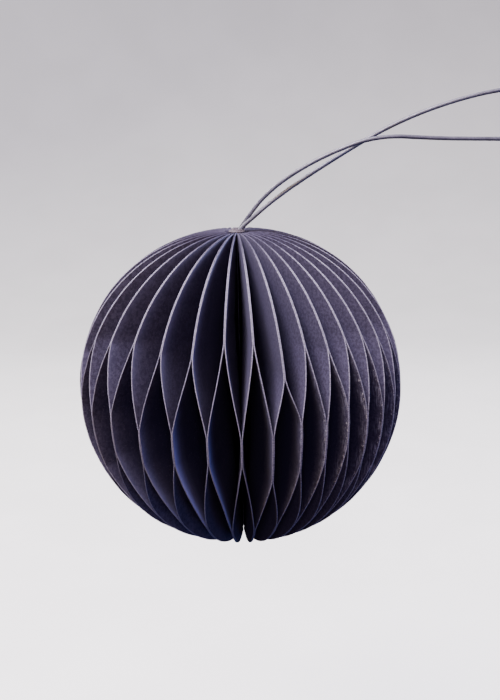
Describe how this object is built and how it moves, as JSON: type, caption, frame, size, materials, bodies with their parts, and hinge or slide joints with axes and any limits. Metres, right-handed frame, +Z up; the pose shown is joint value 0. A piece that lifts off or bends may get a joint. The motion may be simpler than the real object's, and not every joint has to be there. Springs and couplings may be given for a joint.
{
  "type": "paper honeycomb ball",
  "caption": "Round ornament of glued paper leaves that fan out from a spine, on a cord loop; its covers swing round to fold it flat.",
  "frame": {"origin": "centre of the ball, half way up its axis", "axes": "+Z up along the axis that the leaves stand round; -Y is the front; the seam between the covers is at +Y, and the cord loop leans to +X"},
  "size_m": [0.1527, 0.1033, 0.1424],
  "materials": {
    "paper": "matte",
    "board": "matte",
    "tape": "matte",
    "sleeve": "matte",
    "cord": "satin",
    "magnet": "satin"
  },
  "bodies": {
    "hanger": {"hanging_cord": "cord"},
    "spine": {"spine_tape": "tape", "cord_knot": "cord", "cord_sleeve": "sleeve"},
    "cover_left": {"cover_board_left": "board", "magnets_left": "magnet"},
    "cover_right": {"cover_board_right": "board", "magnets_right": "magnet"},
    "leaf_pair_01": {"leaf_pair_01": "paper"},
    "leaf_pair_02": {"leaf_pair_02": "paper"},
    "leaf_pair_03": {"leaf_pair_03": "paper"},
    "leaf_pair_04": {"leaf_pair_04": "paper"},
    "leaf_pair_05": {"leaf_pair_05": "paper"},
    "leaf_pair_06": {"leaf_pair_06": "paper"},
    "leaf_pair_07": {"leaf_pair_07": "paper"},
    "leaf_pair_08": {"leaf_pair_08": "paper"},
    "leaf_pair_09": {"leaf_pair_09": "paper"},
    "leaf_pair_10": {"leaf_pair_10": "paper"},
    "leaf_pair_11": {"leaf_pair_11": "paper"},
    "leaf_pair_12": {"leaf_pair_12": "paper"},
    "leaf_pair_13": {"leaf_pair_13": "paper"},
    "leaf_pair_14": {"leaf_pair_14": "paper"},
    "leaf_pair_15": {"leaf_pair_15": "paper"},
    "leaf_pair_16": {"leaf_pair_16": "paper"},
    "leaf_pair_17": {"leaf_pair_17": "paper"},
    "leaf_pair_18": {"leaf_pair_18": "paper"},
    "leaf_pair_19": {"leaf_pair_19": "paper"},
    "leaf_pair_20": {"leaf_pair_20": "paper"},
    "leaf_pair_21": {"leaf_pair_21": "paper"},
    "leaf_pair_22": {"leaf_pair_22": "paper"},
    "leaf_pair_23": {"leaf_pair_23": "paper"},
    "leaf_pair_24": {"leaf_pair_24": "paper"},
    "leaf_pair_25": {"leaf_pair_25": "paper"},
    "leaf_pair_26": {"leaf_pair_26": "paper"},
    "leaf_pair_27": {"leaf_pair_27": "paper"},
    "leaf_pair_28": {"leaf_pair_28": "paper"},
    "leaf_pair_29": {"leaf_pair_29": "paper"},
    "leaf_pair_30": {"leaf_pair_30": "paper"},
    "leaf_pair_31": {"leaf_pair_31": "paper"},
    "leaf_pair_32": {"leaf_pair_32": "paper"}
  },
  "joints": [
    {"name": "ball_swing", "type": "hinge", "parent": "hanger", "child": "spine", "pos_m": [0.0009, 0, 0.0502], "axis": [0, 1, 0], "range_deg": [-15, 15], "deforming": ["hanging_cord"]},
    {"name": "fan_fold", "type": "hinge", "parent": "spine", "child": "cover_left", "pos_m": [-0.00396, -0.00018, 0], "axis": [0, 0, 1], "range_deg": [0, 174], "deforming": ["spine_tape"]},
    {"name": "cover_right_fold", "type": "hinge", "parent": "spine", "child": "cover_right", "pos_m": [0.00396, -0.00018, 0], "axis": [0, 0, 1], "range_deg": [-174, 0]},
    {"name": "leaf_pair_01_fold", "type": "hinge", "parent": "spine", "child": "leaf_pair_01", "pos_m": [-0.00381, -0.00047, 0], "axis": [0, 0, 1], "range_deg": [0, 168.93], "deforming": ["leaf_pair_01"]},
    {"name": "leaf_pair_02_fold", "type": "hinge", "parent": "spine", "child": "leaf_pair_02", "pos_m": [-0.00359, -0.00075, 0], "axis": [0, 0, 1], "range_deg": [0, 159.42], "deforming": ["leaf_pair_02"]},
    {"name": "leaf_pair_03_fold", "type": "hinge", "parent": "spine", "child": "leaf_pair_03", "pos_m": [-0.00337, -0.001, 0], "axis": [0, 0, 1], "range_deg": [0, 150.47], "deforming": ["leaf_pair_03"]},
    {"name": "leaf_pair_04_fold", "type": "hinge", "parent": "spine", "child": "leaf_pair_04", "pos_m": [-0.00316, -0.00122, 0], "axis": [0, 0, 1], "range_deg": [0, 141.8], "deforming": ["leaf_pair_04"]},
    {"name": "leaf_pair_05_fold", "type": "hinge", "parent": "spine", "child": "leaf_pair_05", "pos_m": [-0.00295, -0.00142, 0], "axis": [0, 0, 1], "range_deg": [0, 133.06], "deforming": ["leaf_pair_05"]},
    {"name": "leaf_pair_06_fold", "type": "hinge", "parent": "spine", "child": "leaf_pair_06", "pos_m": [-0.00273, -0.00161, 0], "axis": [0, 0, 1], "range_deg": [0, 123.94], "deforming": ["leaf_pair_06"]},
    {"name": "leaf_pair_07_fold", "type": "hinge", "parent": "spine", "child": "leaf_pair_07", "pos_m": [-0.0025, -0.00178, 0], "axis": [0, 0, 1], "range_deg": [0, 114.18], "deforming": ["leaf_pair_07"]},
    {"name": "leaf_pair_08_fold", "type": "hinge", "parent": "spine", "child": "leaf_pair_08", "pos_m": [-0.00225, -0.00194, 0], "axis": [0, 0, 1], "range_deg": [0, 103.6], "deforming": ["leaf_pair_08"]},
    {"name": "leaf_pair_09_fold", "type": "hinge", "parent": "spine", "child": "leaf_pair_09", "pos_m": [-0.00199, -0.00209, 0], "axis": [0, 0, 1], "range_deg": [0, 92.16], "deforming": ["leaf_pair_09"]},
    {"name": "leaf_pair_10_fold", "type": "hinge", "parent": "spine", "child": "leaf_pair_10", "pos_m": [-0.00173, -0.00222, 0], "axis": [0, 0, 1], "range_deg": [0, 79.94], "deforming": ["leaf_pair_10"]},
    {"name": "leaf_pair_11_fold", "type": "hinge", "parent": "spine", "child": "leaf_pair_11", "pos_m": [-0.00145, -0.00233, 0], "axis": [0, 0, 1], "range_deg": [0, 67.16], "deforming": ["leaf_pair_11"]},
    {"name": "leaf_pair_12_fold", "type": "hinge", "parent": "spine", "child": "leaf_pair_12", "pos_m": [-0.00117, -0.00243, 0], "axis": [0, 0, 1], "range_deg": [0, 54.1], "deforming": ["leaf_pair_12"]},
    {"name": "leaf_pair_13_fold", "type": "hinge", "parent": "spine", "child": "leaf_pair_13", "pos_m": [-0.0009, -0.0025, 0], "axis": [0, 0, 1], "range_deg": [0, 41.1], "deforming": ["leaf_pair_13"]},
    {"name": "leaf_pair_14_fold", "type": "hinge", "parent": "spine", "child": "leaf_pair_14", "pos_m": [-0.00063, -0.00255, 0], "axis": [0, 0, 1], "range_deg": [0, 28.49], "deforming": ["leaf_pair_14"]},
    {"name": "leaf_pair_15_fold", "type": "hinge", "parent": "spine", "child": "leaf_pair_15", "pos_m": [-0.00037, -0.00258, 0], "axis": [0, 0, 1], "range_deg": [0, 16.52], "deforming": ["leaf_pair_15"]},
    {"name": "leaf_pair_16_fold", "type": "hinge", "parent": "spine", "child": "leaf_pair_16", "pos_m": [-0.00012, -0.0026, 0], "axis": [0, 0, 1], "range_deg": [0, 5.37], "deforming": ["leaf_pair_16"]},
    {"name": "leaf_pair_17_fold", "type": "hinge", "parent": "spine", "child": "leaf_pair_17", "pos_m": [0.00011, -0.0026, 0], "axis": [0, 0, 1], "range_deg": [-4.95, 0], "deforming": ["leaf_pair_17"]},
    {"name": "leaf_pair_18_fold", "type": "hinge", "parent": "spine", "child": "leaf_pair_18", "pos_m": [0.00033, -0.00259, 0], "axis": [0, 0, 1], "range_deg": [-14.46, 0], "deforming": ["leaf_pair_18"]},
    {"name": "leaf_pair_19_fold", "type": "hinge", "parent": "spine", "child": "leaf_pair_19", "pos_m": [0.00053, -0.00256, 0], "axis": [0, 0, 1], "range_deg": [-23.4, 0], "deforming": ["leaf_pair_19"]},
    {"name": "leaf_pair_20_fold", "type": "hinge", "parent": "spine", "child": "leaf_pair_20", "pos_m": [0.00073, -0.00253, 0], "axis": [0, 0, 1], "range_deg": [-32.08, 0], "deforming": ["leaf_pair_20"]},
    {"name": "leaf_pair_21_fold", "type": "hinge", "parent": "spine", "child": "leaf_pair_21", "pos_m": [0.00092, -0.00249, 0], "axis": [0, 0, 1], "range_deg": [-40.81, 0], "deforming": ["leaf_pair_21"]},
    {"name": "leaf_pair_22_fold", "type": "hinge", "parent": "spine", "child": "leaf_pair_22", "pos_m": [0.00113, -0.00243, 0], "axis": [0, 0, 1], "range_deg": [-49.93, 0], "deforming": ["leaf_pair_22"]},
    {"name": "leaf_pair_23_fold", "type": "hinge", "parent": "spine", "child": "leaf_pair_23", "pos_m": [0.00135, -0.00236, 0], "axis": [0, 0, 1], "range_deg": [-59.7, 0], "deforming": ["leaf_pair_23"]},
    {"name": "leaf_pair_24_fold", "type": "hinge", "parent": "spine", "child": "leaf_pair_24", "pos_m": [0.00159, -0.00227, 0], "axis": [0, 0, 1], "range_deg": [-70.29, 0], "deforming": ["leaf_pair_24"]},
    {"name": "leaf_pair_25_fold", "type": "hinge", "parent": "spine", "child": "leaf_pair_25", "pos_m": [0.00185, -0.00214, 0], "axis": [0, 0, 1], "range_deg": [-81.74, 0], "deforming": ["leaf_pair_25"]},
    {"name": "leaf_pair_26_fold", "type": "hinge", "parent": "spine", "child": "leaf_pair_26", "pos_m": [0.00213, -0.00199, 0], "axis": [0, 0, 1], "range_deg": [-93.96, 0], "deforming": ["leaf_pair_26"]},
    {"name": "leaf_pair_27_fold", "type": "hinge", "parent": "spine", "child": "leaf_pair_27", "pos_m": [0.00241, -0.00181, 0], "axis": [0, 0, 1], "range_deg": [-106.75, 0], "deforming": ["leaf_pair_27"]},
    {"name": "leaf_pair_28_fold", "type": "hinge", "parent": "spine", "child": "leaf_pair_28", "pos_m": [0.0027, -0.0016, 0], "axis": [0, 0, 1], "range_deg": [-119.81, 0], "deforming": ["leaf_pair_28"]},
    {"name": "leaf_pair_29_fold", "type": "hinge", "parent": "spine", "child": "leaf_pair_29", "pos_m": [0.00299, -0.00136, 0], "axis": [0, 0, 1], "range_deg": [-132.81, 0], "deforming": ["leaf_pair_29"]},
    {"name": "leaf_pair_30_fold", "type": "hinge", "parent": "spine", "child": "leaf_pair_30", "pos_m": [0.00327, -0.00109, 0], "axis": [0, 0, 1], "range_deg": [-145.41, 0], "deforming": ["leaf_pair_30"]},
    {"name": "leaf_pair_31_fold", "type": "hinge", "parent": "spine", "child": "leaf_pair_31", "pos_m": [0.00354, -0.00079, 0], "axis": [0, 0, 1], "range_deg": [-157.37, 0], "deforming": ["leaf_pair_31"]},
    {"name": "leaf_pair_32_fold", "type": "hinge", "parent": "spine", "child": "leaf_pair_32", "pos_m": [0.0038, -0.00048, 0], "axis": [0, 0, 1], "range_deg": [-168.51, 0], "deforming": ["leaf_pair_32"]}
  ],
  "couplings": [
    {"joint": "cover_right_fold", "follows": "fan_fold", "ratio": -1},
    {"joint": "leaf_pair_01_fold", "follows": "fan_fold", "ratio": 0.97077},
    {"joint": "leaf_pair_02_fold", "follows": "fan_fold", "ratio": 0.91611},
    {"joint": "leaf_pair_03_fold", "follows": "fan_fold", "ratio": 0.86469},
    {"joint": "leaf_pair_04_fold", "follows": "fan_fold", "ratio": 0.81484},
    {"joint": "leaf_pair_05_fold", "follows": "fan_fold", "ratio": 0.76464},
    {"joint": "leaf_pair_06_fold", "follows": "fan_fold", "ratio": 0.71223},
    {"joint": "leaf_pair_07_fold", "follows": "fan_fold", "ratio": 0.65611},
    {"joint": "leaf_pair_08_fold", "follows": "fan_fold", "ratio": 0.59529},
    {"joint": "leaf_pair_09_fold", "follows": "fan_fold", "ratio": 0.52955},
    {"joint": "leaf_pair_10_fold", "follows": "fan_fold", "ratio": 0.45936},
    {"joint": "leaf_pair_11_fold", "follows": "fan_fold", "ratio": 0.3859},
    {"joint": "leaf_pair_12_fold", "follows": "fan_fold", "ratio": 0.31086},
    {"joint": "leaf_pair_13_fold", "follows": "fan_fold", "ratio": 0.23614},
    {"joint": "leaf_pair_14_fold", "follows": "fan_fold", "ratio": 0.16362},
    {"joint": "leaf_pair_15_fold", "follows": "fan_fold", "ratio": 0.094847},
    {"joint": "leaf_pair_16_fold", "follows": "fan_fold", "ratio": 0.030779},
    {"joint": "leaf_pair_17_fold", "follows": "fan_fold", "ratio": -0.028336},
    {"joint": "leaf_pair_18_fold", "follows": "fan_fold", "ratio": -0.083008},
    {"joint": "leaf_pair_19_fold", "follows": "fan_fold", "ratio": -0.13442},
    {"joint": "leaf_pair_20_fold", "follows": "fan_fold", "ratio": -0.18426},
    {"joint": "leaf_pair_21_fold", "follows": "fan_fold", "ratio": -0.23445},
    {"joint": "leaf_pair_22_fold", "follows": "fan_fold", "ratio": -0.28685},
    {"joint": "leaf_pair_23_fold", "follows": "fan_fold", "ratio": -0.343},
    {"joint": "leaf_pair_24_fold", "follows": "fan_fold", "ratio": -0.40386},
    {"joint": "leaf_pair_25_fold", "follows": "fan_fold", "ratio": -0.46967},
    {"joint": "leaf_pair_26_fold", "follows": "fan_fold", "ratio": -0.53992},
    {"joint": "leaf_pair_27_fold", "follows": "fan_fold", "ratio": -0.61342},
    {"joint": "leaf_pair_28_fold", "follows": "fan_fold", "ratio": -0.68848},
    {"joint": "leaf_pair_29_fold", "follows": "fan_fold", "ratio": -0.76317},
    {"joint": "leaf_pair_30_fold", "follows": "fan_fold", "ratio": -0.83563},
    {"joint": "leaf_pair_31_fold", "follows": "fan_fold", "ratio": -0.90434},
    {"joint": "leaf_pair_32_fold", "follows": "fan_fold", "ratio": -0.96834}
  ]
}
